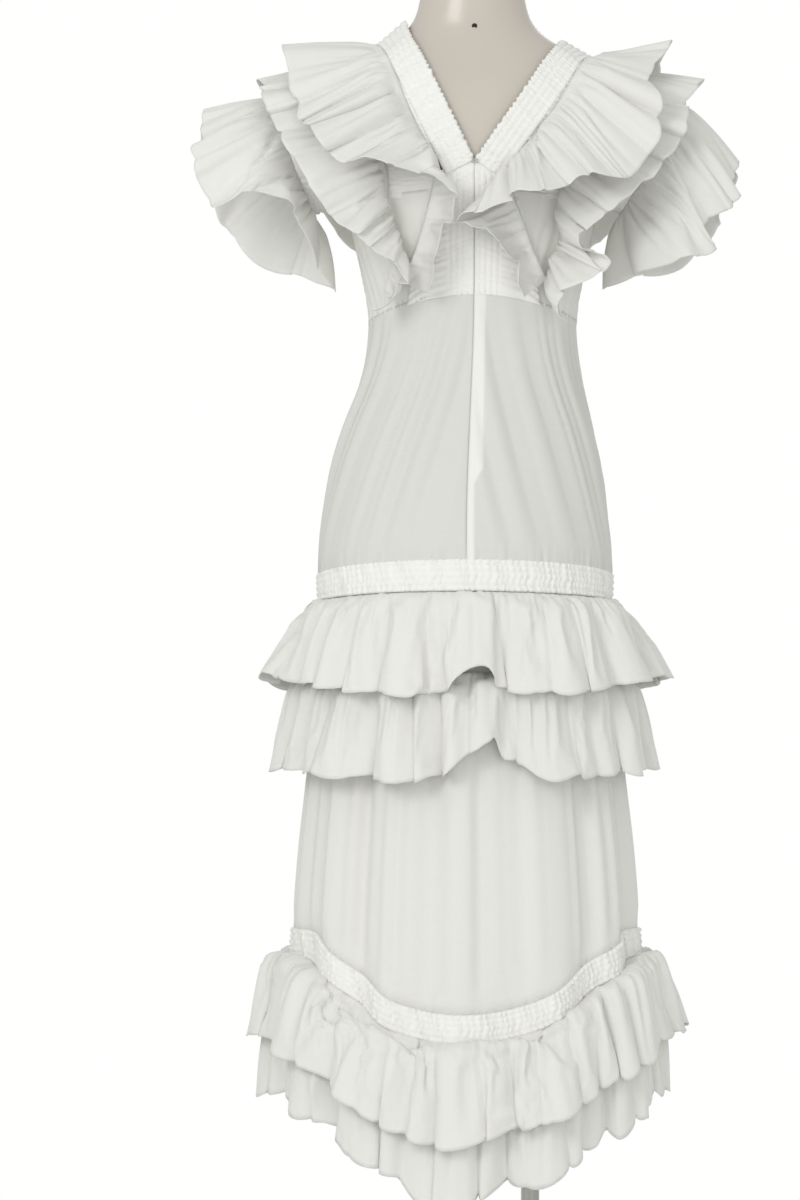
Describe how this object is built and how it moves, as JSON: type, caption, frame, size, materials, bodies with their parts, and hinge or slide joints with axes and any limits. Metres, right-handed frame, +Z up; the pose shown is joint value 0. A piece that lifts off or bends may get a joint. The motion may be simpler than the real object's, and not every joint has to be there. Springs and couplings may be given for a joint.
{
  "type": "ruffled tiered maxi dress on a limbless dress form stand",
  "caption": "White cotton maxi dress with a V back, double shoulder ruffles, bell sleeves and ruffled tiers, on a limbless dress form with a steel pole and round base.",
  "frame": {"origin": "middle of the box round the whole object, on the floor", "axes": "+Z up; the back of the dress faces -Y; +X towards the wearer's right"},
  "size_m": [0.6332, 0.4478, 1.5794],
  "materials": {
    "cotton": "crisp plain-weave cotton",
    "shirring": "elastic-shirred cotton",
    "voile": "thin cotton voile",
    "zip": "woven zip tape",
    "hook": "nickel-plated wire",
    "form": "satin lacquer",
    "steel": "polished steel"
  },
  "bodies": {
    "root": {"form_body": "form", "neck_cap": "steel", "pole_flange": "steel", "pole": "steel", "base_plate": "steel", "base_collar": "steel", "neck_band_L": "shirring", "neck_band_R": "shirring", "yoke_band_L": "shirring", "yoke_band_R": "shirring", "bodice_back_L": "shirring", "bodice_back_R": "shirring", "bodice_front_L": "shirring", "bodice_front_R": "shirring", "side_back_L": "voile", "side_back_R": "voile", "side_front_L": "voile", "side_front_R": "voile", "sleeve_L": "voile", "sleeve_R": "voile", "cuff_L": "shirring", "cuff_R": "shirring", "flounce_L": "cotton", "flounce_R": "cotton", "shoulder_ruffle_upper_L": "cotton", "shoulder_ruffle_upper_R": "cotton", "shoulder_ruffle_lower_L": "cotton", "shoulder_ruffle_lower_R": "cotton", "skirt_back_L": "voile", "skirt_back_R": "voile", "skirt_front": "voile", "hip_band": "shirring", "skirt_lower": "voile", "hem_band": "shirring", "hip_ruffle_upper": "cotton", "hip_ruffle_lower": "cotton", "hem_ruffle_upper": "cotton", "hem_ruffle_lower": "cotton", "zip_tape": "zip", "neck_hook": "hook"}
  },
  "joints": []
}
